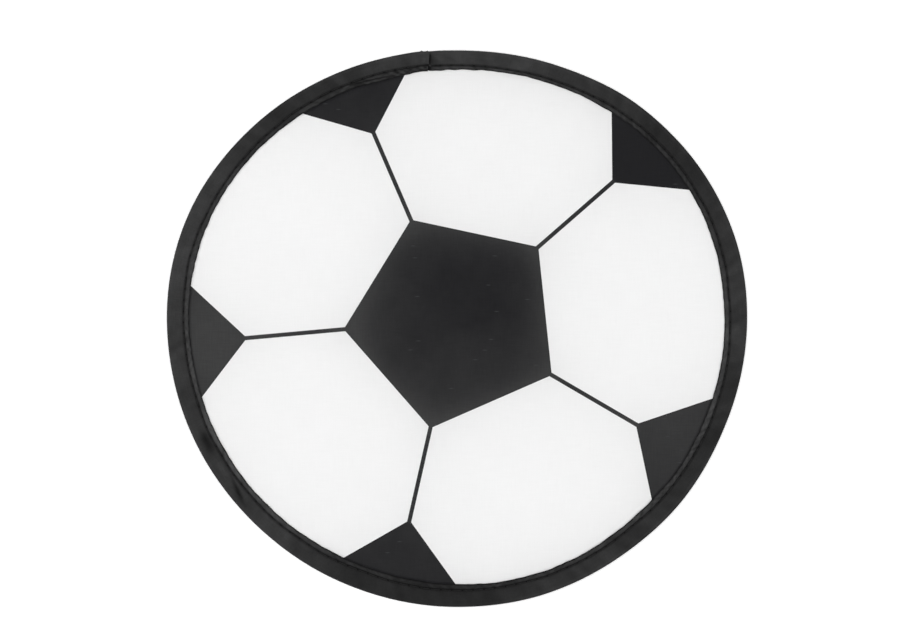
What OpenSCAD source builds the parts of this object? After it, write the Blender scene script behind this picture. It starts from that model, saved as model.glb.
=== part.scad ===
// Folding fabric flying disc: a printed cloth panel in a folded binding that holds a flat spring-steel hoop.
// Millimetres. +Z is up, the disc lies on z = 0 and the origin is under its middle. Headings turn from +X to +Y.
// The relaxed hoop isn't quite round, so the rim is a closed chain of tangent arcs. Every piece that follows the
// rim is placed by its distance in from the outer edge, so hoop, binding, cloth and stitches stay parallel.

/* [Disc] */
// Mean diameter over the binding
disc_d = 245; // [180:1:320]
// How far the hoop is oval: half the difference between its long and its short radius
oval = 2.55; // [0:0.05:4]
// How far the hoop is three-lobed, as the height of one lobe
lobe = 1.1; // [0:0.1:1.5]
// Thickness of the woven cloth
cloth_t = 0.2; // [0.1:0.05:0.4]

/* [Print] */
// Thickness of the ink film
ink_t = 0.03; // [0.01:0.01:0.05]
// Middle of the pattern, to the right of the disc's middle
print_x = -0.8; // [-3:0.1:3]
// Middle of the pattern, above the disc's middle
print_y = 3.75; // [-5:0.05:5]
// Heading of the first line of the pattern
print_turn = 41.3; // [0:0.1:72]
// Radius of the centre pentagon to its corners
pentagon_r = 47.7; // [35:0.1:55]
// Radius of the ring on which the rim patches have their points
patch_r = 89.3; // [70:0.1:95]
// Angle between the two straight sides of a rim patch
patch_angle = 96; // [80:1:120]
// Width of the printed lines
line_w = 1.8; // [0.8:0.05:3]

/* [Binding] */
// Width of the finished binding, from its outer fold to its inner edge
binding_w = 9.5; // [9:0.1:14]
// Thickness of one ply of the tape
tape_t = 0.25; // [0.15:0.01:0.3]
// Hairline space between two plies that lie on each other
ply_gap = 0.05; // [0.03:0.01:0.1]
// Depth of the hems that are turned under along both edges
hem_w = 4.6; // [3.5:0.1:5.5]
// How much the inner edge of the binding puffs up beside the stitches
lip_puff = 0.2; // [0:0.05:0.4]
// Heading of the edge of the lap, where the last end of the tape covers the first
lap_at = 94.7; // [60:0.1:150]
// Length of the lap
lap_l = 12; // [8:1:20]
// Slit that shows at the edge of the lap, and space at the end of the covered ply
lap_gap = 0.3; // [0.2:0.1:0.6]

/* [Hoop] */
// Height of the flat spring steel, which stands on edge
hoop_h = 2.4; // [1.8:0.1:4]
// Thickness of the flat spring steel
hoop_t = 0.5; // [0.3:0.05:0.8]
// Gap between the two ends of the hoop
hoop_gap = 0.6; // [0.3:0.1:1]
// Least space that the hoop and its sleeve have in the fold
channel_play = 0.05; // [0.03:0.01:0.2]
// Length of the sleeve over the ends of the hoop
ferrule_l = 18; // [12:1:30]
// Wall of the sleeve
ferrule_t = 0.2; // [0.15:0.05:0.4]
// Space between the hoop and its sleeve, where the sleeve isn't crimped on to it
ferrule_fit = 0.08; // [0.03:0.01:0.15]
// Length of each of the two crimps
crimp_l = 2; // [1:0.5:3]
// Distance of each crimp from its end of the sleeve
crimp_end = 2; // [1:0.5:2.5]
// Heading of the sleeve
ferrule_at = 210; // [170:1:260]

/* [Stitching] */
// Length of one lockstitch
stitch_l = 4.8; // [3:0.1:6]
// Distance of the row of stitches from the inner edge of the binding
stitch_edge = 2.7; // [2:0.1:3]
// Diameter of the sewing thread
thread_d = 0.3; // [0.2:0.02:0.4]
// Diameter of the holes that the needle leaves
needle_d = 1; // [0.9:0.05:1.3]

/* [Hidden] */
$fn = 180;

// Rim: the arcs have equal angles, and radii that follow the curvature of the oval, lobed outline
rim_arcs = 12;
arc_step = 360 / rim_arcs;
rim_r = [for (i = [0:rim_arcs - 1]) let (a = (i + 0.5) * arc_step)
    disc_d / 2 - 3 * oval * stepped(2) * cos(2 * a) - 8 * lobe * stepped(3) * sin(3 * a)];
chain = [for (c = [0, 0], i = 0; i < rim_arcs; c = c + arc_shift(i) * heading((i + 1) * arc_step), i = i + 1) c];
chain_right = chain[0].x + rim_r[0];
chain_left = chain[rim_arcs / 2].x - rim_r[rim_arcs / 2];
chain_top = chain[rim_arcs / 4].y + rim_r[rim_arcs / 4];
chain_bottom = chain[rim_arcs * 3 / 4].y - rim_r[rim_arcs * 3 / 4];
chain_mid = [chain_right + chain_left, chain_top + chain_bottom] / 2;
rim_centre = [for (c = chain) c - chain_mid];

// Heights, from the middle of the cloth
hoop_room = channel_play + max(ferrule_fit + ferrule_t, ply_gap + tape_t);
rim_half = hoop_h / 2 + hoop_room + tape_t;
hem_z = cloth_t / 2 + ink_t + ply_gap + tape_t / 2;
flange_z = hem_z + tape_t + ply_gap;
shoulder_z = rim_half - tape_t / 2;
mid_z = rim_half;

// Distances in from the outer edge
hoop_in = tape_t + hoop_room;
shoulder_in = hoop_in + hoop_t + ferrule_fit + ferrule_t + channel_play;
cloth_in = shoulder_in + 1;
stitch_in = binding_w - stitch_edge;
valley_w = 1;
cloth_band = 2 * binding_w;

// Folds of the tape, as radii of the middle of the ply
tight_r = 0.05;
corner_r = 1.5 * tape_t + ply_gap + tight_r;
lip_r = (tape_t + ply_gap + lip_puff) / 2;
lip_in = binding_w - tape_t / 2 - lip_r;

// Stitches: the thread dips into each needle hole over dip_w on both sides of its middle
thread_r = thread_d / 2;
dip_w = needle_d / 2 - thread_r - tight_r;
thread_top = flange_z + tape_t / 2 + thread_r + ply_gap / 2;
thread_low = thread_r + ply_gap / 2;
thread_sides = 4;
stitches = [for (i = [0:rim_arcs - 1], n = arc_stitches(i), j = [0:n - 1]) [i, arc_step * (i + (j + 0.5) / n)]];

// Makes up for the height that n lobes lose because the radius changes in steps
function stepped(n) = n * arc_step * PI / 360 / sin(n * arc_step / 2);
function heading(a) = [cos(a), sin(a)];
function arc_shift(i) = rim_r[i] - rim_r[(i + 1) % rim_arcs];
function along(l) = round(l / (disc_d / 2) * 18000 / PI) / 100;
function rim_point(i, a, inset) = rim_centre[i] + (rim_r[i] - inset) * heading(a);
function arc_stitches(i) = round((rim_r[i] - stitch_in) * arc_step * PI / 180 / stitch_l);
function reverse(list) = [for (k = [len(list) - 1:-1:0]) list[k]];
function upside_down(path) = [for (p = reverse(path)) [p.x, -p.y]];
function arc_points(centre, r, from, to, steps) =
    [for (k = [0:steps]) centre + r * heading(from + (to - from) * k / steps)];

// Side of a folded ply, at a distance out from the middle line of its section
function outward(path, k) = let (v = path[k + 1] - path[k]) [v.y, -v.x] / norm(v);
function skin(path, d) = [for (k = [0:len(path) - 1])
    let (a = outward(path, max(k - 1, 0)), b = outward(path, min(k, len(path) - 2)))
    path[k] + d * (a + b) / (1 + a * b)];
function ply(path, d = 0) = concat(skin(path, d + tape_t / 2), reverse(skin(path, d - tape_t / 2)));

// Middle line of the tape's section: the flange from the inner edge over the hoop, and the hem folded back under it
upper_flange = concat(
    [[lip_in, hem_z + 2 * lip_r], [stitch_in + valley_w / 2, flange_z], [stitch_in - valley_w, flange_z],
    [shoulder_in, shoulder_z]],
    arc_points([tape_t / 2 + corner_r, shoulder_z - corner_r], corner_r, 90, 180, 3));
upper_hem = concat(
    [[binding_w - hem_w, hem_z]],
    arc_points([lip_in, hem_z + lip_r], lip_r, -90, 45, 3));
flanges = concat(upper_flange, upside_down(upper_flange));
folded_tape = concat(upper_hem, flanges, upside_down(upper_hem));

// Sweeps a section along the rim between two headings: its x is the distance in from the outer edge, its y the height
module along_rim(from = 0, to = 360) {
    for (i = [0:2 * rim_arcs - 1]) {
        a = max(from, i * arc_step);
        b = min(to, (i + 1) * arc_step);
        if (b > a)
            shift(rim_centre[i % rim_arcs])
                rotate_extrude(angle = b - a, start = a)
                    shift([rim_r[i % rim_arcs], mid_z])
                        mirror([1, 0])
                            children();
    }
}

// Moves its child in two steps, whole hundredths and then the rest, so that neighbouring arcs still meet exactly
// where the numbers are written out with six digits
module shift(v) {
    whole = [for (x = v) round(x * 100) / 100];
    translate(whole)
        translate(v - whole)
            children();
}

// A flat plate that fills the rim, its edge at a distance in from the outer edge
module plate(z, t, inset) {
    along_rim()
        translate([inset, z])
            square([cloth_band, t]);
    translate([0, 0, mid_z + z])
        linear_extrude(t)
            polygon([for (i = [0:rim_arcs - 1]) rim_point(i, i * arc_step, inset + cloth_band / 2)]);
}

// Puts its child at the middle of each needle hole
module at_stitches() {
    for (s = stitches)
        translate(rim_point(s[0], s[1], stitch_in))
            children();
}

module needle_holes() {
    at_stitches()
        cylinder(h = 2 * rim_half, d = needle_d, $fn = 24);
}

module cloth_disc() {
    color("white")
        difference() {
            plate(-cloth_t / 2, cloth_t, cloth_in);
            needle_holes();
        }
}

// The outlines of the pattern. The rim patches run on past the edge of the cloth
module football_pattern() {
    patch_side = disc_d / 2;
    for (k = [0:4]) {
        a = print_turn + k * 72;
        point = patch_r * heading(a);
        polygon([point, point + patch_side * heading(a - patch_angle / 2),
            point + patch_side * heading(a + patch_angle / 2)]);
        rotate(a)
            translate([pentagon_r - line_w, -line_w / 2])
                square([patch_r - pentagon_r + 2 * line_w, line_w]);
    }
    polygon([for (k = [0:4]) pentagon_r * heading(print_turn + k * 72)]);
}

module football_print() {
    color("black")
        difference() {
            intersection() {
                plate(cloth_t / 2, ink_t, cloth_in);
                translate([print_x, print_y, mid_z])
                    linear_extrude(rim_half)
                        football_pattern();
            }
            needle_holes();
        }
}

// The tape runs from the lap right round the rim. Its first end loses its hems and is tucked in under its last end
module binding_tape() {
    lap_to = lap_at + along(lap_l);
    run_to = lap_at + 360 - along(lap_gap);
    color("black")
        difference() {
            union() {
                along_rim(lap_to, run_to)
                    polygon(ply(folded_tape));
                along_rim(lap_at, lap_to)
                    polygon(ply(flanges));
                along_rim(run_to, lap_to + 360 - along(lap_gap))
                    polygon(ply(flanges, -tape_t - ply_gap));
            }
            needle_holes();
        }
}

// Section of the flat spring steel, grown by a wall, with its corners broken
module hoop_section(grown = 0) {
    corner = (hoop_t + 2 * grown) / 4;
    h = hoop_h / 2 + grown;
    x = hoop_in - grown;
    w = hoop_t + 2 * grown;
    polygon([[x + corner, h], [x + w - corner, h], [x + w, h - corner], [x + w, corner - h],
        [x + w - corner, -h], [x + corner, -h], [x, corner - h], [x, h - corner]]);
}

// The ends of the hoop meet in the middle of the sleeve
module spring_hoop() {
    color("silver")
        along_rim(ferrule_at + along(hoop_gap) / 2, ferrule_at + 360 - along(hoop_gap) / 2)
            hoop_section();
}

// The sleeve stands off the hoop by its fit, and grips it at two crimps
module hoop_ferrule() {
    half = ferrule_l / 2;
    crimp = half - crimp_end;
    stops = [-half, -crimp, crimp_l - crimp, crimp - crimp_l, crimp, half];
    color("lightgrey")
        for (k = [0:4]) {
            fit = k % 2 == 0 ? ferrule_fit : 0;
            along_rim(ferrule_at + along(stops[k]), ferrule_at + along(stops[k + 1]))
                difference() {
                    hoop_section(fit + ferrule_t);
                    hoop_section(fit);
                }
        }
}

// Middle line of one thread of the lockstitch. It dips into each hole to the middle of the cloth, and side is 1
// for the needle thread above and -1 for the bobbin thread below
function thread_path(side) = [for (s = stitches, dip = [-1, 0, 1])
    let (p = rim_point(s[0], s[1] + dip * along(dip_w), stitch_in), z = dip == 0 ? thread_low : thread_top)
    [p.x, p.y, mid_z + side * z]];

// A closed tube along a level loop of points
module thread(path) {
    n = len(path);
    ring = [for (k = [0:n - 1])
        let (t = path[(k + 1) % n] - path[(k + n - 1) % n], u = cross([t.x, t.y, 0], [0, 0, 1]))
        let (side = u / norm(u), v = cross(side, t), up = v / norm(v))
        [for (m = [0:thread_sides - 1])
            let (a = 360 * m / thread_sides)
            path[k] + thread_r * (cos(a) * side + sin(a) * up)]];
    faces = [for (k = [0:n - 1], m = [0:thread_sides - 1])
        let (k2 = (k + 1) % n, m2 = (m + 1) % thread_sides)
        each [[k * thread_sides + m, k * thread_sides + m2, k2 * thread_sides + m2],
            [k * thread_sides + m, k2 * thread_sides + m2, k2 * thread_sides + m]]];
    polyhedron([for (r = ring) each r], faces);
}

module needle_thread() {
    color("dimgray")
        thread(thread_path(1));
}

module bobbin_thread() {
    color("dimgray")
        thread(thread_path(-1));
}

cloth_disc();
football_print();
binding_tape();
spring_hoop();
hoop_ferrule();
needle_thread();
bobbin_thread();
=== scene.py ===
# %% [markdown]
# # A folding fabric flying disc
# The real disc is sewn, not moulded. A round of white taffeta carries a printed football pattern. Its rim
# is wrapped in a black binding, one row of lockstitch holds the two together, and in the fold of the
# binding runs a hoop of flat spring steel that keeps the cloth taut. The construction model is loaded first
# and nothing in it is moved: it is the frame that every piece made here has to fit. Lengths are in metres,
# and +Z points up out of the printed face.

# %% Load the frame
import math

import bmesh
import bpy
import numpy as np
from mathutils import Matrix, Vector


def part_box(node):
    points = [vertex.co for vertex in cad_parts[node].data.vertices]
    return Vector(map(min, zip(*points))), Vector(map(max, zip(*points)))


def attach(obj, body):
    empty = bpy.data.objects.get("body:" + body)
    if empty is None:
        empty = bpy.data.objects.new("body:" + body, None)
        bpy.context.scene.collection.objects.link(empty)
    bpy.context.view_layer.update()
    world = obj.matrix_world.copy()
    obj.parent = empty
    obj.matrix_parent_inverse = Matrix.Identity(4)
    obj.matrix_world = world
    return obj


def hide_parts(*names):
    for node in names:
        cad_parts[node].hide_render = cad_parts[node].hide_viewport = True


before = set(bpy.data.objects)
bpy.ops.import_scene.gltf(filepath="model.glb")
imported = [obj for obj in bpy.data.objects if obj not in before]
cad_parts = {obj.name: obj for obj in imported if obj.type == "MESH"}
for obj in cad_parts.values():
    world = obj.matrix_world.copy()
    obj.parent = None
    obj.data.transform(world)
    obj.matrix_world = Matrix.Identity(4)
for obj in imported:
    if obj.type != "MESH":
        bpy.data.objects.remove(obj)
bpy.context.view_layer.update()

mm = 0.001
turn = 2 * math.pi


print("nodes:", sorted(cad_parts))

# %% [markdown]
# ## The camera
# The disc lies flat and is seen from straight above. A long lens from 1.2 m keeps the near and the far edge
# alike. The image is 900 by 641 pixels, and one pixel measures 0.43 mm on the disc, so the field of view
# follows from that. The origin of the model isn't quite in the middle of the image, so the camera stands a
# little to one side and still looks straight down, which keeps the rim's two axes true.

# %% Camera
image_w, image_h = 900, 641
pixel = 0.43084 * mm
middle_px = (457, 328.7)
camera_height = 1.2
sensor_w = 36
mid_z = sum(corner.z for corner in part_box("cloth_disc")) / 2


def place_object(name, data, at=(0, 0, 0)):
    """Puts a mesh, a lamp or a camera into the scene."""
    item = bpy.data.objects.new(name, data)
    item.location = at
    bpy.context.scene.collection.objects.link(item)
    return item


lens = bpy.data.cameras.new("camera")
lens.sensor_width = sensor_w
lens.lens = sensor_w * camera_height / (image_w * pixel)
camera_at = ((image_w / 2 - middle_px[0]) * pixel, (middle_px[1] - image_h / 2) * pixel,
             mid_z + camera_height)
bpy.context.scene.camera = place_object("camera", lens, camera_at)
print(f"lens {lens.lens:.1f} mm over ({camera_at[0] / mm:.1f}, {camera_at[1] / mm:.1f}) mm")

# %% [markdown]
# ## The rim
# A spring hoop that has been folded many times doesn't relax to a perfect circle. The construction model
# draws the rim as twelve tangent arcs that turn through equal angles, with radii that make the outline a
# little oval and a little three-lobed. Repeating that rule here gives one function for everything on the
# rim: a point is found from the heading of the rim's outward normal and from its inset, the distance in
# from the outer edge. Curves of equal inset are parallel, as the hoop, the stitches and the edge of the
# cloth are.

# %% The rim as a chain of arcs
disc_d = 245 * mm
mean_r = disc_d / 2
oval = 2.55 * mm
lobe = 1.1 * mm
rim_arcs = 12
arc_step = turn / rim_arcs


def stepped(n):
    """Makes up for the height that n lobes lose because the radius changes in steps."""
    return n * arc_step / 2 / math.sin(n * arc_step / 2)


def heading(h):
    return np.stack([np.cos(h), np.sin(h)], -1)


arc_mid = (np.arange(rim_arcs) + 0.5) * arc_step
rim_r = mean_r - 3 * oval * stepped(2) * np.cos(2 * arc_mid) - 8 * lobe * stepped(3) * np.sin(3 * arc_mid)
arc_moves = (rim_r - np.roll(rim_r, -1))[:, None] * heading(arc_mid + arc_step / 2)
rim_centre = np.vstack([[0, 0], np.cumsum(arc_moves, 0)[:-1]])


def rim(h, inset):
    """Points of the curve that runs inset inside the outer edge, where the rim's normal has heading h."""
    h, inset = np.broadcast_arrays(h, inset)
    arc = np.floor(h / arc_step).astype(int) % rim_arcs
    return rim_centre[arc] + (rim_r[arc] - inset)[..., None] * heading(h)


quarter_points = rim(np.arange(4) * turn / 4, 0)
rim_centre = rim_centre - [(quarter_points[0, 0] + quarter_points[2, 0]) / 2,
                           (quarter_points[1, 1] + quarter_points[3, 1]) / 2]

# %% [markdown]
# ## Irregularity that can be repeated
# Sewn work is never even: the binding wanders, the stitches pull, the cloth has slack spots. Random numbers
# would give a different disc each time and would not close up round the rim. Instead a ripple is a sum of
# cosines with whole numbers of waves per turn, drawn with a fixed seed, so it closes on itself and is the
# same on every run.

# %% Ripples and ramps


def ripple(h, low, high, terms, seed):
    """A closed ripple round the rim, of effective height one, with low to high waves per turn."""
    draw = np.random.RandomState(seed)
    waves = draw.randint(low, high + 1, terms)
    phases = draw.uniform(0, turn, terms)
    sizes = draw.uniform(0.5, 1, terms)
    total = sum(s * np.cos(n * h + p) for n, p, s in zip(waves, phases, sizes))
    return total / math.sqrt((sizes**2).sum() / 2)


def ramp(x):
    """Rises smoothly from 0 to 1 as x goes from 0 to 1."""
    x = np.clip(x, 0, 1)
    return x * x * (3 - 2 * x)


def round_the_rim(h, stations):
    """A smooth closed curve through {heading in degrees: value}, used where the sewing drifts in or out."""
    keys = np.array(sorted(stations)) / 360 * turn
    values = np.array([stations[k] for k in sorted(stations)])
    keys = np.concatenate([keys[-1:] - turn, keys, keys[:1] + turn])
    values = np.concatenate([values[-1:], values, values[:1]])
    h = np.mod(h - keys[0], turn) + keys[0]
    k = np.clip(np.searchsorted(keys, h, "right") - 1, 0, len(keys) - 2)
    return values[k] + (values[k + 1] - values[k]) * ramp((h - keys[k]) / (keys[k + 1] - keys[k]))


print("ripple at 0 and at a full turn:", ripple(np.array([0, turn]), 5, 40, 6, 1).round(6))

# %% Hills: soft bumps at one place


def hill(x, reach):
    """One where x is zero, fading to about a third at reach."""
    return np.exp(-((x / reach) ** 2))


def off_heading(h, degrees):
    """Angle in radians from a heading in degrees, taken the short way round."""
    return np.mod(h - math.radians(degrees) + math.pi, turn) - math.pi


def around(h, degrees, reach):
    """A hill at a heading, with its reach measured along the rim."""
    return hill(off_heading(h, degrees) * mean_r, reach)


def spotted(h, everywhere, spots):
    """A value that soft spots add to, given as {heading in degrees: (width in degrees, share)}."""
    return everywhere + sum(share * hill(np.degrees(off_heading(h, at)), width)
                            for at, (width, share) in spots.items())


# %% [markdown]
# ## The stitched row and the edges of the binding
# One lockstitch is 4.8 mm long, and the row runs 6.8 mm in from the outer edge. On the real disc it drifts
# by half a millimetre or so, because the binding is fed by hand round a curve, and so do both edges of the
# binding. Everything near the seam needs the same row: the binding dips there, the lip puffs up beside it,
# and the two threads follow it. So the needle holes come first, and the two edges after them.

# %% Needle holes and the drift of the row
stitch_l = 4.8 * mm
stitch_in = 6.8 * mm
# heading in degrees: mm further in
row_drift = {5: 0.6, 16: 0, 30: -0.4, 45: -0.8, 57: -1, 72: -0.7, 86: -0.3, 91: -0.5, 94.2: -0.58,
             95.6: -1.05, 98: -0.95, 104: -1.2, 113: -0.95, 121: -0.7, 131: 0, 150: 0.2, 164: -0.2,
             178: 0.3, 195: 0.5, 206: 0.1, 225: 0.15, 236: 0.55, 250: 1.1, 266: 0.5, 278: 0.3, 292: 0,
             302: -0.1, 310: 0.15, 318: -0.35, 332: -0.3, 347: 0}
row_wander = 0.05 * mm


def row_inset(h):
    """Inset of the row of stitches."""
    return stitch_in + round_the_rim(h, row_drift) * mm + row_wander * ripple(h, 20, 60, 8, 3)


arc_stitches = np.round((rim_r - stitch_in) * arc_step / stitch_l).astype(int)
hole_h = np.concatenate([arc_step * (arc + (np.arange(n) + 0.5) / n) for arc, n in enumerate(arc_stitches)])
print(len(hole_h), "stitches")

# %% The inner edge, called the lip
binding_w = 9.5 * mm
lip_drift = {6: 0.5, 18: -0.05, 32: -0.7, 45: -1, 58: -1.3, 70: -1.5, 80: -1.4, 91: -0.95, 97: -0.9,
             104: -0.4, 112: -0.9, 121: -0.65, 135: -0.45, 150: -0.25, 165: 0.05, 180: 0.15, 192: 0.4,
             203: 0.15, 218: -0.05, 230: 0.2, 242: 0.7, 256: 0.85, 268: 0.5, 282: -0.1, 296: -0.3,
             306: -0.05, 314: 0.1, 325: -0.45, 335: 0.05, 348: 0.05}
lip_wave_h = 0.05 * mm
lip_flutter_h = 0.035 * mm


def lip_edge(h):
    """Inset of the inner edge of the binding, which waves most just right of the lap."""
    waves = lip_wave_h * ripple(h, 22, 60, 12, 21) + lip_flutter_h * ripple(h, 80, 170, 14, 22)
    return binding_w + round_the_rim(h, lip_drift) * mm + waves * (1 + 1.5 * around(h, 88, 14 * mm))


rim_h = np.linspace(0, turn, 2400, endpoint=False)
lip_line = rim(rim_h, lip_edge(rim_h))
lip_turn = np.arctan2(lip_line[:, 1], lip_line[:, 0])
lip_radius = np.linalg.norm(lip_line, axis=1)
lip_order = np.argsort(lip_turn)


def from_lip(xy):
    """How far points of the disc lie in from the lip."""
    turns = np.arctan2(xy[:, 1], xy[:, 0])
    radius = np.interp(turns, lip_turn[lip_order], lip_radius[lip_order], period=turn)
    return radius - np.linalg.norm(xy, axis=1)


lip_in = lip_edge(rim_h) / mm
print("the lip runs", lip_in.min().round(2), "to", lip_in.max().round(2), "mm in from the outer edge")

# %% The outer edge
outer_drift = {0: 0.1, 20: -0.2, 44: -0.5, 58: -0.85, 72: -0.35, 90: 0.12, 95: -0.03, 96.3: -0.25,
               97.5: -0.36, 101: -0.28, 107: -0.3, 136: 0.25, 155: 0, 180: 0.1, 210: -0.1, 235: 0.05,
               252: 0.25, 270: 0.15, 288: -0.3, 305: -0.25, 319: -0.6, 338: 0.25}
yarn_end_l = 0.42 * mm


def yarn_ends(h):
    """Two yarn ends that stick out of the fold beside the lap."""
    return yarn_end_l * (around(h, 95.4, 0.25 * mm) + around(h, 96.45, 0.4 * mm))


print("the outer edge drifts by", min(outer_drift.values()), "to", max(outer_drift.values()), "mm")

# %% [markdown]
# ## Helpers for meshes
# Both sheets are regular grids of points, so one helper turns numbered points and faces into a Blender
# mesh. A piece keeps its object at the origin and its place in its vertices, rides on the one body of this
# part, and names the finish that it belongs to.

# %% Mesh helpers
body = "root"
sharp_over = math.radians(60)


def make_piece(name, points, faces, edges=()):
    """A new piece from points, and either faces or bare edges."""
    mesh = bpy.data.meshes.new(name)
    mesh.from_pydata(np.asarray(points).tolist(), list(edges), faces)
    mesh.update()
    return place_object(name, mesh)


def grid_faces(rows, columns):
    """Four-sided faces of a grid of points that is numbered row by row, where each row closes on itself."""
    r, c = np.arange(rows - 1)[:, None], np.arange(columns)[None, :]
    r2, c2 = r + 1, (c + 1) % columns
    corners = [r * columns + c, r * columns + c2, r2 * columns + c2, r2 * columns + c]
    return np.stack(corners, -1).reshape(-1, 4).tolist()


def face_outwards(piece):
    """Turns all faces of a closed piece outwards."""
    bm = bmesh.new()
    bm.from_mesh(piece.data)
    bmesh.ops.recalc_face_normals(bm, faces=bm.faces)
    bm.to_mesh(piece.data)
    bm.free()


def apply_modifiers(piece):
    """Turns the evaluated piece into its plain mesh and clears the modifiers."""
    evaluated = piece.evaluated_get(bpy.context.evaluated_depsgraph_get())
    mesh = bpy.data.meshes.new_from_object(evaluated)
    piece.modifiers.clear()
    piece.data = mesh
    mesh.name = piece.name


def finish_piece(piece, material):
    """Gives the finish, the body, and smooth shading that stops at sharp edges."""
    piece.data.materials.clear()
    piece.data.materials.append(material)
    piece.data.polygons.foreach_set("use_smooth", [True] * len(piece.data.polygons))
    piece.data.set_sharp_from_angle(angle=sharp_over)
    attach(piece, body)
    print(piece.name, "has", sum(len(p.vertices) - 2 for p in piece.data.polygons), "triangles")


# %% [markdown]
# ## Shader helpers
# A material is a small tree of nodes. Writing one out node by node is long, so one helper adds a node, sets
# its values and links whatever is already a socket. Effects that several finishes share are node groups
# with named inputs: the plain weave of both cloths, slubs (the thick and thin places of a yarn), mottling,
# and fibres of lint. Each group puts out one value, and each material decides what to do with it.

# %% Node helpers


def feed(tree, node, inputs):
    """Sets inputs of a node, each to a value or to a socket that it is linked from."""
    for name, value in inputs.items():
        if isinstance(value, bpy.types.NodeSocket):
            tree.links.new(value, node.inputs[name])
        else:
            node.inputs[name].default_value = value


def add(tree, kind, inputs=None, **settings):
    """Adds a node. A setting is a property of it, and an input is a value or a socket to link from."""
    node = tree.nodes.new(kind)
    for name, value in settings.items():
        setattr(node, name, value)
    feed(tree, node, inputs or {})
    return node


def maths(tree, operation, *values):
    return add(tree, "ShaderNodeMath", dict(enumerate(values)), operation=operation).outputs[0]


def remap(tree, value, low, high, to_low=0, to_high=1, curve="LINEAR"):
    """Maps low..high to to_low..to_high, and holds the ends beyond them."""
    node = add(tree, "ShaderNodeMapRange", {"Value": value, "From Min": low, "From Max": high,
               "To Min": to_low, "To Max": to_high}, interpolation_type=curve)
    return node.outputs[0]


def scaled(tree, vector, top, bottom):
    """The vector times top over bottom."""
    share = maths(tree, "DIVIDE", top, bottom)
    return add(tree, "ShaderNodeVectorMath", {0: vector, "Scale": share}, operation="SCALE").outputs[0]


def new_group(name, inputs, output):
    """A shader group with a Vector input, number inputs with their values, and one number output."""
    group = bpy.data.node_groups.new(name, "ShaderNodeTree")
    group.interface.new_socket("Vector", in_out="INPUT", socket_type="NodeSocketVector")
    for label, value in inputs.items():
        socket = group.interface.new_socket(label, in_out="INPUT", socket_type="NodeSocketFloat")
        socket.default_value = value
    group.interface.new_socket(output, in_out="OUTPUT", socket_type="NodeSocketFloat")
    return group, add(group, "NodeGroupInput").outputs, add(group, "NodeGroupOutput").inputs[output]


# %% Plain weave
weave, given, result = new_group("plain_weave", {"Pitch": 0.0003}, "Height")
threads = scaled(weave, given["Vector"], math.pi, given["Pitch"])
warp_weft = add(weave, "ShaderNodeSeparateXYZ", {0: threads})
over_under = maths(weave, "MULTIPLY", *(maths(weave, "SINE", warp_weft.outputs[axis]) for axis in "XY"))
weave.links.new(maths(weave, "MULTIPLY_ADD", over_under, 0.5, 0.5), result)

# %% Slubs along both directions of the yarn
slubs, given, result = new_group("slubs", {"Length": 0.012, "Width": 0.0006}, "Value")
axes = add(slubs, "ShaderNodeSeparateXYZ", {0: given["Vector"]})
streaks = []
for long_axis, cross_axis in ("XY", "YX"):
    along_yarn = maths(slubs, "DIVIDE", axes.outputs[long_axis], given["Length"])
    across_yarn = maths(slubs, "DIVIDE", axes.outputs[cross_axis], given["Width"])
    place = add(slubs, "ShaderNodeCombineXYZ", {"X": along_yarn, "Y": across_yarn})
    noise = add(slubs, "ShaderNodeTexNoise", {"Vector": place.outputs[0], "Scale": 1, "Detail": 1},
                noise_dimensions="2D")
    streaks.append(noise.outputs["Fac"])
slubs.links.new(maths(slubs, "MULTIPLY", maths(slubs, "ADD", *streaks), 0.5), result)

# %% Mottling
mottle, given, result = new_group("mottle", {"Size": 0.01, "Roughness": 0.6}, "Value")
clouds = scaled(mottle, given["Vector"], 1, given["Size"])
noise = add(mottle, "ShaderNodeTexNoise", {"Vector": clouds, "Scale": 1, "Detail": 3,
            "Roughness": given["Roughness"]})
mottle.links.new(noise.outputs["Fac"], result)

# %% Fibres of lint, as short dashes along the weft
lint, given, result = new_group("lint", {"Spacing": 0.006, "Size": 0.04, "Share": 0.2}, "Mask")
spaced = scaled(lint, given["Vector"], 1, given["Spacing"])
slender = add(lint, "ShaderNodeVectorMath", {0: spaced, 1: (0.5, 2.5, 1)}, operation="MULTIPLY")
cells = add(lint, "ShaderNodeTexVoronoi", {"Vector": slender.outputs[0], "Scale": 1}, feature="F1",
            voronoi_dimensions="2D")
speck = remap(lint, cells.outputs["Distance"], 0, given["Size"], 1, 0)
chance = add(lint, "ShaderNodeSeparateColor", {0: cells.outputs["Color"]}).outputs["Blue"]
lint.links.new(maths(lint, "MULTIPLY", speck, maths(lint, "LESS_THAN", chance, given["Share"])), result)
print("shader groups:", [g.name for g in bpy.data.node_groups])

# %% Material helpers


def fresh_tree(owner):
    """The empty node tree of a material or world."""
    owner.use_nodes = True
    owner.node_tree.nodes.clear()
    return owner.node_tree


def new_material(name):
    """A material, its tree, its shader node and the Object coordinates."""
    material = bpy.data.materials.new(name)
    tree = fresh_tree(material)
    shader = add(tree, "ShaderNodeBsdfPrincipled")
    add(tree, "ShaderNodeOutputMaterial", {"Surface": shader.outputs[0]})
    return material, tree, shader, add(tree, "ShaderNodeTexCoord").outputs["Object"]


def place_group(tree, group, vector, **values):
    return add(tree, "ShaderNodeGroup", {"Vector": vector, **values}, node_tree=group).outputs[0]


def attribute(tree, name):
    return add(tree, "ShaderNodeAttribute", attribute_name=name).outputs["Fac"]


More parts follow.
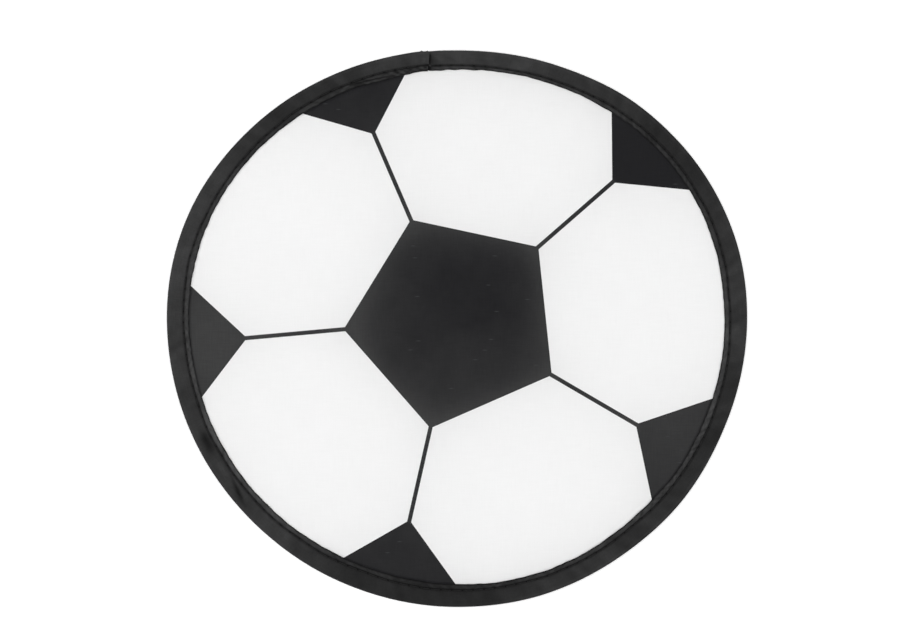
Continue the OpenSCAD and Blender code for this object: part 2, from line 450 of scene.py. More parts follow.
def mixed(tree, share, first, second, blend="MIX"):
    """Blends two colours. Each is a socket, three numbers, or one number for a grey."""
    node = add(tree, "ShaderNodeMix", {"Factor": share}, data_type="RGBA", blend_type=blend)
    for name, colour in (("A", first), ("B", second)):
        if isinstance(colour, (int, float)):
            colour = (colour,) * 3
        feed(tree, node, {name: (*colour, 1) if isinstance(colour, tuple) else colour})
    return node.outputs["Result"]


def between(tree, value, low, high, dark, light):
    """Maps a mask from low..high to a colour between dark and light."""
    return mixed(tree, remap(tree, value, low, high), dark, light)


def nearness(tree, place, at, reach):
    """A mask that is 1 at a point (right, up) of the disc and fades to 0 at reach from it."""
    away = add(tree, "ShaderNodeVectorMath", {0: place, 1: (*at, 0)}, operation="DISTANCE").outputs["Value"]
    return remap(tree, away, 0, reach, 1, 0, "SMOOTHSTEP")


def soft_spots(tree, place, spots, operation):
    """Soft spots, given as {(right, up): (reach, share)}, put together by one operation."""
    total = 0
    for at, (reach, share) in spots.items():
        spot = maths(tree, "MULTIPLY", nearness(tree, place, at, reach), share)
        total = maths(tree, operation, total, spot)
    return total


def bumps(tree, *layers):
    """A normal from several layers of height, given as (height socket, depth in metres)."""
    below = {}
    for height, depth in layers:
        bump = add(tree, "ShaderNodeBump", {"Height": height, "Distance": depth, "Strength": 1, **below})
        below = {"Normal": bump.outputs[0]}
    return below["Normal"]


# %% [markdown]
# ## White taffeta
# Taffeta is a tight plain weave of smooth polyester yarn, four threads to the millimetre. From above it
# reads as plain white. What tells it from paper is a slight silky gloss, faint slubs along both yarns, a
# painted shade that darkens the white beside the print and the binding and fades away from both, and, seen
# from below, the print that shows through as grey. The weave uses the Object coordinates, because the panel
# is flat and its yarns run straight. The painted shade and the grey are attributes of the mesh, set when the
# pattern is cut.

# %% White taffeta
taffeta_pitch = 0.25 * mm
taffeta, tree, shader, place = new_material("white_taffeta")
yarn = place_group(tree, weave, place, Pitch=taffeta_pitch)
slub = place_group(tree, slubs, place, Length=9 * mm, Width=0.45 * mm)
patchy = place_group(tree, mottle, place, Size=28 * mm)
white = between(tree, slub, 0.3, 0.7, 0.907, 0.932)
white = mixed(tree, 1, white, between(tree, patchy, 0.3, 0.7, 0.986, 1), "MULTIPLY")
# painted shade: the white is darkened by up to 18 percent beside the print and the binding
white = mixed(tree, attribute(tree, "painted_shade"), white, 0.82, "MULTIPLY")
white = mixed(tree, attribute(tree, "under_print"), white, (0.44, 0.44, 0.46))
feed(tree, shader, {
    "Base Color": white,
    "Roughness": remap(tree, slub, 0.3, 0.7, 0.5, 0.62),
    "Normal": bumps(tree, (slub, 0.02 * mm), (yarn, 0.015 * mm)),
    "Specular IOR Level": 0.3,
    "Sheen Weight": 0.08,
    "Sheen Roughness": 0.4,
})

# %% [markdown]
# ## Printed ink
# The pattern is screen-printed in black. The film is thin and matt, so the weave and the slubs show in it.
# Along every edge of the pattern the film is rubbed greyer and a little glossier. On the left and at the
# lower right it is glossier too and painted lighter, a painted sheen, and at the upper right it is painted
# blackest, a painted shade. It is cloudy everywhere, and a few fibres of lint cling to it. Edge wear, with a
# painted shade right beside the binding, comes from an attribute, set when the pattern is cut.

# %% Where the ink is rubbed, and where sheen and shade are painted on it
ink, tree, shader, place = new_material("black_ink")
# (right, up): (reach, share), with lengths in metres
painted_sheen_spots = {(-0.108, -0.006): (0.05, 1), (0.097, -0.048): (0.055, 0.66), (-0.046, -0.002): (0.036, 0.3),
         (-0.008, -0.03): (0.05, 0.2), (-0.024, -0.096): (0.03, 0.13)}
painted_dark_spots = {(0.078, 0.072): (0.04, 0.3), (0.012, 0.024): (0.04, 0.15)}
# painted sheen: the film is lighter on the left and at the lower right; painted shade makes it blackest at
# the upper right and near the middle
painted_sheen = soft_spots(tree, place, painted_sheen_spots, "MAXIMUM")
painted_darkening = soft_spots(tree, place, painted_dark_spots, "ADD")
cloudy = place_group(tree, mottle, place, Size=22 * mm, Roughness=0.65)
ink_wear_and_painted_light = maths(tree, "MULTIPLY_ADD", cloudy, 0.5, maths(tree, "SUBTRACT", painted_sheen, painted_darkening))
ink_wear_and_painted_light = maths(tree, "ADD", attribute(tree, "edge_wear_and_lip_shade"), ink_wear_and_painted_light)

# %% Black ink
yarn = place_group(tree, weave, place, Pitch=taffeta_pitch)
slub = place_group(tree, slubs, place, Length=7 * mm, Width=0.5 * mm)
specks = place_group(tree, lint, place, Spacing=6 * mm, Size=0.12, Share=0.07)
# the grey of the film takes rubbed edges, random cloud, painted sheen and painted shade together
black = between(tree, ink_wear_and_painted_light, 0.12, 1.25, (0.0126, 0.0125, 0.0140), (0.0400, 0.0400, 0.0404))
black = mixed(tree, 1, black, between(tree, slub, 0.32, 0.72, 0.93, 1.08), "MULTIPLY")
feed(tree, shader, {
    "Base Color": mixed(tree, specks, black, (0.042, 0.043, 0.045)),
    "Roughness": remap(tree, ink_wear_and_painted_light, 0.1, 1.2, 0.82, 0.6),
    "Normal": bumps(tree, (slub, 0.018 * mm), (yarn, 0.006 * mm)),
    "Specular IOR Level": 0.12,
})

# %% [markdown]
# ## Black binding
# The binding is a softer, duller plain weave than the panel. It is cut as a strip, so its yarns run along
# and across the strip and turn with the rim. The strip's own UV map carries that: U is the length along the
# rim and V the width across the strip, both in metres, so a pitch in metres is right in both directions.
# Its raised parts are grey, partly from wear and partly from painted light, and the valley of the seam is
# painted black as painted shade: an attribute of the mesh says how light each point is painted.

# %% Black binding
binding_pitch = 0.36 * mm
tape_cloth, tree, shader, place = new_material("black_binding")
strip = add(tree, "ShaderNodeUVMap", uv_map="strip").outputs["UV"]
yarn = place_group(tree, weave, strip, Pitch=binding_pitch)
slub = place_group(tree, slubs, strip, Length=4 * mm, Width=0.55 * mm)
cloudy = place_group(tree, mottle, place, Size=9 * mm, Roughness=0.6)
nap = place_group(tree, mottle, place, Size=1.3 * mm, Roughness=0.6)
wear_and_painted_light = attribute(tree, "wear_and_painted_light")
uneven = maths(tree, "MULTIPLY", wear_and_painted_light, remap(tree, cloudy, 0.28, 0.72, 0.76, 1.24))
# lighter where the attribute is high: wear and painted light on the crests, painted shade in the valley and
# under the lap
wear_and_light_colour = between(tree, uneven, 0, 1.6, (0.0015, 0.0015, 0.0016), (0.0551, 0.0551, 0.0557))
feed(tree, shader, {
    "Base Color": mixed(tree, 1, wear_and_light_colour, between(tree, slub, 0.32, 0.7, 0.9, 1.1), "MULTIPLY"),
    "Roughness": remap(tree, wear_and_painted_light, 0, 0.6, 1, 0.7),
    "Normal": bumps(tree, (nap, 0.12 * mm), (slub, 0.03 * mm), (yarn, 0.03 * mm)),
    "Specular IOR Level": 0.2,
    "Sheen Weight": 0.03,
    "Sheen Roughness": 0.5,
    "Sheen Tint": (0.7, 0.72, 0.75, 1),
})

# %% [markdown]
# ## Thread and steel
# The thread is twisted polyester, so a fine diagonal ripple along it is enough. The hoop is tempered strip
# with marks from rolling that run along its length, and the sleeve is zinc-plated sheet, paler and more
# mottled. Both are round the rim, so their brushing follows the angle about the middle, worked out from the
# Object coordinates.

# %% Black thread
thread_finish, tree, shader, place = new_material("black_thread")
twist = add(tree, "ShaderNodeTexWave", {"Vector": place, "Scale": 900, "Distortion": 2, "Detail": 1},
            bands_direction="DIAGONAL")
fuzz = place_group(tree, mottle, place, Size=0.8 * mm)
feed(tree, shader, {
    "Base Color": between(tree, fuzz, 0.3, 0.7, 0.010, 0.022),
    "Roughness": remap(tree, fuzz, 0.3, 0.7, 0.6, 0.75),
    "Normal": bumps(tree, (twist.outputs["Fac"], 0.03 * mm)),
    "Specular IOR Level": 0.2,
})

# %% Steel, brushed round the rim
marks_per_radian = 12
marks_per_metre = 9000


def brushed_steel(name, node, colours, roughness):
    """A steel for one piece of the construction model, with two ends of its colours and of its roughness."""
    material, tree, shader, place = new_material(name)
    x, y, z = add(tree, "ShaderNodeSeparateXYZ", {0: place}).outputs
    radius = maths(tree, "SQRT", maths(tree, "ADD", maths(tree, "POWER", x, 2), maths(tree, "POWER", y, 2)))
    rolled = add(tree, "ShaderNodeCombineXYZ", {
        "X": maths(tree, "MULTIPLY", maths(tree, "ARCTAN2", y, x), marks_per_radian),
        "Y": maths(tree, "MULTIPLY", radius, marks_per_metre),
        "Z": maths(tree, "MULTIPLY", z, marks_per_metre),
    })
    noise = add(tree, "ShaderNodeTexNoise", {"Vector": rolled.outputs[0], "Scale": 1, "Detail": 3})
    brush = noise.outputs["Fac"]
    stain = place_group(tree, mottle, place, Size=7 * mm)
    feed(tree, shader, {
        "Base Color": between(tree, stain, 0.3, 0.7, *colours),
        "Roughness": remap(tree, brush, 0.3, 0.7, *roughness),
        "Normal": bumps(tree, (brush, 0.01 * mm)),
        "Metallic": 1,
    })
    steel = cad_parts[node].data.materials
    steel.clear()
    steel.append(material)


brushed_steel("spring_steel", "spring_hoop", ((0.36, 0.37, 0.39), (0.47, 0.48, 0.50)), (0.22, 0.38))
brushed_steel("sleeve_steel", "hoop_ferrule", ((0.52, 0.53, 0.54), (0.66, 0.67, 0.68)), (0.3, 0.5))
print("materials:", [material.name for material in bpy.data.materials])

# %% [markdown]
# ## The cloth panel
# The panel is one round of cloth, held taut all along its edge. It could be simulated, but a taut sheet
# hardly moves: what shows is a shallow relief that is quicker and steadier to write down. The seam gathers
# the cloth into short puckers that fade within a centimetre, longer pulls reach further in, and slack spots
# swell by up to a millimetre, on the left and at the lower right, where the pattern catches more light. The
# mesh is a fan of rings: a few under the binding, then fine ones just inside its lip, where the relief is
# finest, and wider ones towards the middle.

# %% Relief of the cloth
cloth_t = 0.2 * mm
cloth_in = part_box("binding_tape")[1].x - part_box("cloth_disc")[1].x
lip_mean_in = 9.4 * mm
pucker_h = 0.10 * mm
pucker_reach = 5 * mm
pull_h = 0.13 * mm
pull_reach = 22 * mm
# heading in degrees, distance from the middle, height, spread
swells = [(178, 62 * mm, 1.3 * mm, 30 * mm), (-27, 66 * mm, 0.9 * mm, 28 * mm),
          (80, 55 * mm, 0.35 * mm, 32 * mm)]


def cloth_relief(h, inset, xy):
    """Height of the cloth's middle above its flat place."""
    past_lip = np.maximum(inset - lip_mean_in + 1 * mm, 0)
    puckers = pucker_h * ripple(h, 28, 110, 16, 11) * np.exp(-past_lip / pucker_reach)
    pulls = pull_h * ripple(h, 7, 26, 10, 12) * np.exp(-past_lip / pull_reach)
    relief = ramp(past_lip / (2 * mm)) * (puckers + pulls)
    for degrees, distance, height, spread in swells:
        middle = distance * heading(math.radians(degrees))
        away = ((xy - middle) ** 2).sum(-1) / spread**2
        relief = relief + height * np.exp(-away / 2) * ramp(past_lip / (16 * mm))
    return relief


# %% Cloth panel as a fan of rings
fine_to = 13.2 * mm
lip_rings = np.arange(7.5, 12.9, 0.6) * mm
inner_rings = fine_to + (np.linspace(0, 1, 34, endpoint=False) ** 1.15) * (mean_r - fine_to)
ring_in = np.concatenate([[cloth_in, 5 * mm], lip_rings, inner_rings])
panel_sectors = 3 * len(hole_h)
sector_h = np.arange(panel_sectors) / panel_sectors * turn
ring_share = 1 - (ring_in - cloth_in) / (mean_r - cloth_in)
cloth_edge = rim(sector_h, cloth_in)
ring_xy = ring_share[:, None, None] * cloth_edge[None]
ring_inset = cloth_in + (1 - ring_share)[:, None] * np.linalg.norm(cloth_edge, axis=1)[None]
ring_z = mid_z + cloth_relief(np.broadcast_to(sector_h, ring_inset.shape), ring_inset, ring_xy)
centre_z = mid_z + cloth_relief(np.zeros(1), np.array([mean_r]), np.zeros((1, 2)))[0]
points = np.concatenate([np.dstack([ring_xy, ring_z]).reshape(-1, 3), [[0, 0, centre_z]]])
faces = grid_faces(len(ring_in), panel_sectors)
last_ring = (len(ring_in) - 1) * panel_sectors
faces += [[last_ring + k, last_ring + (k + 1) % panel_sectors, len(points) - 1]
          for k in range(panel_sectors)]
panel = make_piece("cloth_panel", points, faces)
print("panel heights in mm:", (points[:, 2].min() / mm).round(2), "to", (points[:, 2].max() / mm).round(2))

# %% [markdown]
# ## The printed pattern
# The print is a film that follows every ripple of the cloth, so it is best made from the cloth itself. The
# single layer of cloth is cut along the straight sides of the pattern: five sides of the pentagon, two of
# each line and two of each rim patch. Only faces that a side really crosses are cut, which keeps the mesh
# clean elsewhere. The faces inside the pattern are then copied as the film and lifted on to the cloth. Real
# sewing pulls the printed cloth a little out of true, so each corner of the pattern has a small pull of its
# own.

# %% Sizes of the football pattern
ink_t = 0.03 * mm
pattern_at = np.array([-0.8, 3.75]) * mm
pattern_turn = 41.3
pentagon_r = 47.7 * mm
patch_r = 89.3 * mm
patch_angle = 96
line_w = 1.8 * mm
# pulls in mm to the right and up, turns and spreads of the patches in degrees
corner_pulls = ((0, 0), (-0.2, -0.6), (-0.5, 0.4), (-0.2, -0.1), (0.6, 0.6))
tip_pulls = ((0.6, 0.3), (0.4, -2), (-0.7, 0.5), (0, 0.9), (1, 0.7))
tip_turns = (1.2, 0, -0.4, 0.4, 1)
tip_spreads = (0, 5.3, -0.6, 0, 0.5)

# %% Outlines of the football pattern


def pulled_point(degrees, distance, pull):
    return pattern_at + distance * heading(math.radians(degrees)) + np.array(pull) * mm


corner_turns = [pattern_turn + 72 * k for k in range(5)]
corners = [pulled_point(a, pentagon_r, pull) for a, pull in zip(corner_turns, corner_pulls)]
tips = [pulled_point(a, patch_r, pull) for a, pull in zip(corner_turns, tip_pulls)]
shapes = [corners]
for a, corner, tip, tip_turn, spread in zip(corner_turns, corners, tips, tip_turns, tip_spreads):
    sides = [a + tip_turn + side * (patch_angle + spread) / 2 for side in (-1, 1)]
    shapes.append([tip, *(tip + mean_r * heading(math.radians(side)) for side in sides)])
    along = (tip - corner) / np.linalg.norm(tip - corner)
    half_w = np.array([-along[1], along[0]]) * line_w / 2
    near, far = corner - along * line_w, tip + along * line_w
    shapes.append([near - half_w, far - half_w, far + half_w, near + half_w])


def inside_pattern(x, y):
    """True where a point is inside any of the shapes, all of which turn anticlockwise."""
    return any(all((b[0] - a[0]) * (y - a[1]) - (b[1] - a[1]) * (x - a[0]) > 0
                   for a, b in zip(shape, shape[1:] + shape[:1])) for shape in shapes)


def pattern_sides(shapes):
    """The sides of some shapes that lie on the disc."""
    return [(a, b) for shape in shapes for a, b in zip(shape, shape[1:] + shape[:1])
            if min(np.linalg.norm(a - pattern_at), np.linalg.norm(b - pattern_at)) < mean_r]


pentagon_sides, patch_sides = pattern_sides(shapes[:1]), pattern_sides(shapes[1::2])
line_runs = list(zip(corners, tips))
print(len(pentagon_sides), "sides of the pentagon,", len(patch_sides), "of patches and", len(tips), "lines")

# %% Cut the cloth along the pattern


def cut_along(bm, a, b):
    """Cuts the faces that the stretch from a to b crosses."""
    length = float(np.linalg.norm(b - a))
    along = (b - a) / length
    across = np.array([-along[1], along[0]])
    bm.verts.index_update()
    co = np.array([v.co[:2] for v in bm.verts]) - a
    t, d = co @ along, co @ across
    crossed = []
    for face in bm.faces:
        rows = [v.index for v in face.verts]
        if d[rows].min() < 0 < d[rows].max() and t[rows].max() > 0 and t[rows].min() < length:
            crossed.append(face)
    parts = set(crossed)
    parts.update(e for f in crossed for e in f.edges)
    parts.update(v for f in crossed for v in f.verts)
    bmesh.ops.bisect_plane(bm, geom=list(parts), dist=1e-7, plane_co=(*a, 0), plane_no=(*across, 0))


bm = bmesh.new()
bm.from_mesh(panel.data)
for a, b in pattern_sides(shapes):
    cut_along(bm, a, b)
bm.normal_update()
under_print = bm.faces.layers.float.new("under_print")
for face in bm.faces:
    if face.normal.z < 0:
        face.normal_flip()
    middle = face.calc_center_median()
    face[under_print] = float(inside_pattern(middle.x, middle.y))
print("cloth faces after the cuts:", len(bm.faces))

# %% Painted shade on the cloth, and wear and painted shade of the film
wear_reach = 6 * mm
shade_reach = 10 * mm
# shares of the painted shade on the cloth beside the pentagon, the patches, the lines and the lip
pentagon_shade, patch_shade, line_shade = 0.45, 0.3, 0.2
least_rim_shade = 0.13
# heading in degrees: (width in degrees, share)
rim_shade_spots = {78: (32, 0.42), 287: (38, 0.42), 221: (18, 0.16)}
pentagon_wear, patch_wear, line_wear, most_wear = 0.7, 0.1, 0.5, 0.9
# share of the painted shade on the film beside the binding
lip_shade = 0.35


def distances(points, sides):
    """Distances of points from each of some sides, one row for a side."""
    rows = []
    for a, b in sides:
        share = np.clip((points - a) @ (b - a) / np.dot(b - a, b - a), 0, 1)
        rows.append(np.linalg.norm(points - a - share[:, None] * (b - a), axis=1))
    return np.array(rows)


def painted_shade_of(xy):
    """How much painted shade the cloth gets: most beside the print and the binding, fading away from both.
    """
    def fading(distance):
        return np.exp(-np.maximum(distance, 0) / shade_reach)

    shade_near_print = (pentagon_shade * fading(distances(xy, pentagon_sides).min(0))
            + patch_shade * fading(distances(xy, patch_sides).min(0))
            + line_shade * fading(distances(xy, line_runs).min(0)))
    at_rim = spotted(np.arctan2(xy[:, 1], xy[:, 0]), least_rim_shade, rim_shade_spots)
    return np.clip(shade_near_print + at_rim * fading(from_lip(xy)), 0, 1)


def wear_and_lip_shade_of(xy):
    """How rubbed the film is along its edges and lines, less a painted shade right beside the binding."""
    wear_and_painted_light = (pentagon_wear * np.exp(-distances(xy, pentagon_sides) / wear_reach).sum(0)
              + patch_wear * np.exp(-distances(xy, patch_sides) / wear_reach).sum(0))
    wear_and_painted_light = np.clip(wear_and_painted_light, 0, most_wear)
    on_line = distances(xy, line_runs).min(0) < line_w
    wear_and_painted_light = np.where(on_line, np.maximum(wear_and_painted_light, line_wear), wear_and_painted_light)
    # painted shade: the film turns blacker within a millimetre of the lip
    return wear_and_painted_light - lip_shade * (1 - ramp((from_lip(xy) - 0.1 * mm) / (0.8 * mm)))


def write_layer(bm, name, rule):
    """Writes one value for each point, found from its place on the disc."""
    layer = bm.verts.layers.float.new(name)
    for vert, value in zip(bm.verts, rule(np.array([vert.co[:2] for vert in bm.verts]))):
        vert[layer] = value


# %% The film, copied from the cloth
write_layer(bm, "painted_shade", painted_shade_of)
bm.to_mesh(panel.data)
write_layer(bm, "edge_wear_and_lip_shade", wear_and_lip_shade_of)
under_print = bm.faces.layers.float["under_print"]
bmesh.ops.delete(bm, geom=[face for face in bm.faces if face[under_print] < 0.5], context="FACES")
bmesh.ops.translate(bm, verts=bm.verts, vec=(0, 0, cloth_t / 2 + ink_t / 2))
film = make_piece("printed_pattern", [], [])
bm.to_mesh(film.data)
bm.free()
print("cloth faces:", len(panel.data.polygons), "film faces:", len(film.data.polygons))

# %% Give cloth and film their thickness
for piece, thickness in ((panel, cloth_t), (film, ink_t)):
    solid = piece.modifiers.new("thickness", "SOLIDIFY")
    solid.thickness = thickness
    solid.offset = 0
    apply_modifiers(piece)
finish_piece(panel, taffeta)
finish_piece(film, ink)
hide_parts("cloth_disc")
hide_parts("football_print")

# %% [markdown]
# ## The binding
# The binding is one strip, folded over the hoop, with both long edges turned under. Its section is drawn as
# the middle line of the ply: from the cut edge of the upper hem out to the lip, back over the lip, down
# into the valley of the seam, up the slope to the hoop, round the outer fold, and the same again below.
# That line is swept round the rim with its heights and widths changing at every step, and then it gets its
# two skins. The underside is drawn with fewer points, because it lies on the table and has less to show.

# %% Sizes of the folded tape
tape_t = 0.25 * mm
ply_gap = 0.05 * mm
tape_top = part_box("binding_tape")[1].z - mid_z
tape_mid = tape_top - tape_t / 2
shoulder_in = 1.43 * mm
corner_r = 0.55 * mm
hem_z = cloth_t / 2 + ink_t + ply_gap + tape_t / 2
seam_z = hem_z + tape_t + ply_gap - 0.08 * mm
hem_edge_in = 4.6 * mm
ferrule_at = 210
ferrule_reach = 9.5 * mm
print(f"top of the binding {tape_top / mm:.2f} mm above the middle of the cloth")

# %% How far the lip stands open, and how deep the seam lies
puff_mean, puff_least, puff_most = 0.52 * mm, 0.3 * mm, 0.75 * mm
puff_wave_h, puff_flutter_h = 0.07 * mm, 0.05 * mm
seam_wave_h = 0.025 * mm
hole_dip = 0.16 * mm
hole_reach = 0.9 * mm


def lip_puff(h, side):
    """How far the lip stands open beside the seam."""
    waves = puff_wave_h * ripple(h, 24, 70, 10, 23 + side)
    waves = waves + puff_flutter_h * ripple(h, 90, 170, 12, 26 + side)
    return np.clip(puff_mean + waves, puff_least, puff_most)


def hole_pulse(h, width):
    """One at each needle hole, falling to nothing a width away."""
    nearest = np.abs(h[:, None] - np.concatenate([hole_h - turn, hole_h, hole_h + turn])[None]).min(1)
    return hill(nearest * mean_r, width)


def seam_height(h, side):
    """Height of the ply's middle in the valley of the seam, above the middle of the cloth."""
    return seam_z + seam_wave_h * ripple(h, 30, 90, 8, 31 + side) - hole_dip * hole_pulse(h, hole_reach)


# %% Relief of the free stretch between the seam and the hoop
wrinkle_h = 0.03 * mm
wave_h = 0.04 * mm
# heading, reach along and across in mm, height in mm
swellings = ((213.5, 4.2, 1.5, 0.34), (206.6, 6.2, 1.9, -0.42))
swellings_in = 4.4 * mm
# heading and inset in mm of both ends, width in mm, height in mm
creases = (((222, 2.2), (215.6, 5.8), 0.9, -0.4), ((219.5, 5.6), (215.2, 6.4), 0.7, 0.14),
           ((92.6, 2), (89.5, 5.5), 0.8, -0.16))


def crease(h, u, from_at, to_at, width):
    """A mask along a line, width mm wide, between two places (heading, inset in mm), fading to both."""
    along = off_heading(h, from_at[0]) * mean_r
    run = (off_heading(math.radians(to_at[0]), from_at[0]) * mean_r, (to_at[1] - from_at[1]) * mm)
    share = np.clip((along * run[0] + (u - from_at[1] * mm) * run[1]) / (run[0] ** 2 + run[1] ** 2), 0, 1)
    away = np.hypot(along - share * run[0], u - from_at[1] * mm - share * run[1])
    return hill(away, width * mm) * np.sin(math.pi * (0.12 + 0.76 * share))


def slope_relief(h, u, side):
    """Wrinkles of the upper or lower flange. The tape strains diagonally from the stitches to the hoop."""
    wrinkles = wrinkle_h * ripple(h + u * 4, 40, 130, 14, 41 + side)
    relief = wrinkles + wave_h * ripple(h, 9, 36, 10, 44 + side)
    if side == 0:
        for at, along, across, height in swellings:
            relief = relief + height * mm * around(h, at, along * mm) * hill(u - swellings_in, across * mm)
        for from_at, to_at, width, height in creases:
            relief = relief + height * mm * crease(h, u, from_at, to_at, width)
    return relief


def lip_fold(h, u):
    """The place left of the lap where the lip is folded double, as a mask along a slanting line."""
    return crease(h, u, (110.5, 6.9), (102, 8.2), 0.36)


# %% One half of the section
lip_turns = np.radians(np.linspace(-90, 90, 7))
fold_turns = np.radians([75, 45, 15])
# share of the way from the seam, share of the rise
lip_rise = ((0.9, 1.02), (0.78, 1.04), (0.66, 1.05), (0.54, 1.02), (0.43, 0.9), (0.33, 0.68), (0.23, 0.37),
            (0.12, 0.09))
slope_rise = ((0.028, 0.04), (0.06, 0.18), (0.1, 0.33), (0.165, 0.45), (0.28, 0.56), (0.43, 0.68),
              (0.6, 0.8), (0.78, 0.91), (0.93, 0.985))
fold_depth = 0.3 * mm
ferrule_rise = 0.1 * mm
crown_in = 0.95 * mm
yarn_end_z, yarn_end_h = 1.2 * mm, 0.4 * mm
drift_reach = 4 * mm


def half_section(h, side):
    """Insets and heights of the ply's middle line, from hem to outer wall, a row for each heading."""
    flat = np.zeros_like(h)
    row, valley = row_inset(h), seam_height(h, side)
    lip_r = (tape_t + ply_gap + lip_puff(h, side)) / 2
    lip_c = lip_edge(h) - tape_t / 2 - lip_r
    lip_top = hem_z + 2 * lip_r
    line = [(hem_edge_in + flat, hem_z + flat), ((hem_edge_in + lip_c) / 2, hem_z + flat)]
    line += [(lip_c + lip_r * math.cos(a), hem_z + lip_r * (1 + math.sin(a))) for a in lip_turns]
    for share, rise in lip_rise:
        u = row + (lip_c - row) * share
        line.append((u, valley + (lip_top - valley) * rise - fold_depth * lip_fold(h, u) * (side == 0)))
    line.append((row, valley))
    over_ferrule = np.exp(-((off_heading(h, ferrule_at) * mean_r / ferrule_reach) ** 4))
    top = tape_mid - ferrule_rise * (1 - over_ferrule) * (side == 0)
    for share, rise in slope_rise:
        u = row + (shoulder_in - row) * share
        relief = slope_relief(h, u, side) * math.sin(math.pi * min(share * 1.05, 1))
        line.append((u, valley + (top - valley) * rise + relief))
    line.append((crown_in + flat, top + flat))
    fold_c = tape_t / 2 + corner_r
    line += [(fold_c - corner_r * math.cos(a) + flat, top - corner_r + corner_r * math.sin(a))
             for a in fold_turns]
    line.append((tape_t / 2 + flat, 0.5 * (top - corner_r) + flat))
    u, z = (np.stack([point[k] for point in line], 1) for k in (0, 1))
    frayed = yarn_ends(h)[:, None] * hill(z - yarn_end_z, yarn_end_h) * (side == 0)
    drift = round_the_rim(h, outer_drift)[:, None] * mm - frayed
    return u + drift * (1 - ramp((u - tape_t / 2) / drift_reach)), z


print("points in half a section:", half_section(np.zeros(1), 0)[0].shape[1])

# %% [markdown]
# ## The lap
# The tape begins and ends near the top of the disc. Its last end lies over its first: seen from above there
# is one short dark line across the binding, with the covering side standing a hair prouder and the covered
# side diving under it. So the sweep starts at the edge of the lap, a little raised, runs once round, and
# ends tucked in below its own start. The edge isn't quite square to the rim, which a small lean of the
# heading with the inset gives.

# %% Headings of the sweep
lap_at = 94.95
lap_lean = math.radians(0.065) / mm
lap_h = math.radians(lap_at)
tuck_l = 5 * mm
per_stitch = 6
holes_on = np.sort(np.mod(hole_h - lap_h, turn)) + lap_h
holes_closed = np.append(holes_on, holes_on[0] + turn)
between_holes = np.linspace(0, 1, per_stitch, endpoint=False)
even = (holes_closed[:-1, None] + np.diff(holes_closed)[:, None] * between_holes).ravel()
fine_start = lap_h + np.append(np.arange(0, 2, 0.2), np.arange(2, 7, 0.35)) * mm / mean_r
fine_end = lap_h + turn - np.arange(0, 5, 0.3) * mm / mean_r
tucked = lap_h + turn + np.linspace(0.12 * mm, tuck_l, 9) / mean_r
even = even[(even > fine_start[-1]) & (even < fine_end[-1])]
sweep_h = np.unique(np.concatenate([fine_start, even, fine_end, tucked]))
from_start = (sweep_h - lap_h) * mean_r
past_end = (sweep_h - lap_h - turn) * mean_r
diving = past_end[:, None] / mm
row_at = row_inset(sweep_h)[:, None]
print(len(sweep_h), "sections")

# %% Sweep the section
upper_u, upper_z = half_section(sweep_h, 0)
lower_u, lower_z = half_section(sweep_h, 1)
# about every second point is enough below
lower_kept = [0, 2, 4, 6, 8, 10, 12, 14, 16, 17, 18, 20, 22, 24, 27, 29]
upper_n, lower_n = upper_u.shape[1], len(lower_kept)
line_u = np.hstack([upper_u, upper_u[:, -1:], lower_u[:, lower_kept][:, ::-1]])
line_z = np.hstack([upper_z, np.zeros((len(sweep_h), 1)), -lower_z[:, lower_kept][:, ::-1]])
step_u, step_z = np.gradient(line_u, axis=1), np.gradient(line_z, axis=1)
step = np.hypot(step_u, step_z)
out_u, out_z = step_z / step, -step_u / step
print(upper_n, "points above and", lower_n, "below, beside one on the outer wall")

# %% Lift the covering end
lift_h = 0.42 * mm
curl_h = 0.35 * mm
start_lift = lift_h * (1 - ramp(from_start / (7 * mm)))[:, None]
corner_curl = curl_h * (1 - ramp(from_start / (1.2 * mm)))[:, None]
lifted = np.concatenate([np.linspace(0, 1, 6), np.ones(upper_n - 10), np.linspace(1, 0.25, 4), [0],
                         np.zeros(lower_n)])
curled = hill(line_u - row_at, 0.6 * mm) * (lifted > 0.5)

# %% Tuck in the covered end, and knot it in the seam
hem_and_lip = 7
drop_h = 0.36 * mm
plunge_h = 0.6 * mm
tuck_drop = drop_h * ramp((past_end + 2.6 * mm) / (2.6 * mm))[:, None]
dropped = np.concatenate([np.zeros(2), np.full(hem_and_lip, 0.6),
                          np.ones(upper_n + lower_n - hem_and_lip - 1)])
span = np.clip((line_u - shoulder_in) / (row_at - shoulder_in), 0, 1)
lip_share = np.clip((line_z - hem_z) / (0.8 * mm), 0, 1) * (line_u > row_at)
plunge = plunge_h * (hill(past_end, 0.9 * mm) * (past_end > -3 * mm))[:, None]
dive = plunge * np.maximum(np.sin(math.pi * span) * (line_z > 0), lip_share)
knot = hill(diving + 0.35, 0.4) * hill(line_u - row_at, 0.27 * mm) * (line_z > 0)

# %% Move the points of both ends
knot_h = 0.65 * mm
shift = start_lift * lifted + corner_curl * curled - tuck_drop * dropped - dive + knot_h * knot
hidden = np.maximum(ramp(line_u / (1.5 * mm)), ramp(past_end / (0.5 * mm))[:, None])
line_u, line_z = line_u + out_u * shift * hidden, line_z + out_z * shift
trim_start, trim_end = 0.7 * mm, 0.6 * mm
lip_trim = (trim_start * (1 - ramp(from_start / (9 * mm)))
            + trim_end * ramp((past_end + 0.4 * mm) / mm))[:, None]
past_row = np.clip((line_u - row_at) / (2 * mm), 0, 1)
line_u = line_u - lip_trim * past_row
near_lap = hill(np.minimum(from_start, np.abs(past_end)), 9 * mm)[:, None]
lip_cut = math.radians(0.12) * (1 - ramp(from_start / (3 * mm)))[:, None]
lean_h = sweep_h[:, None] + near_lap * lap_lean * line_u + lip_cut * ramp(past_row * 2)
print("the ends are moved by", (shift.min() / mm).round(2), "to", (shift.max() / mm).round(2), "mm")
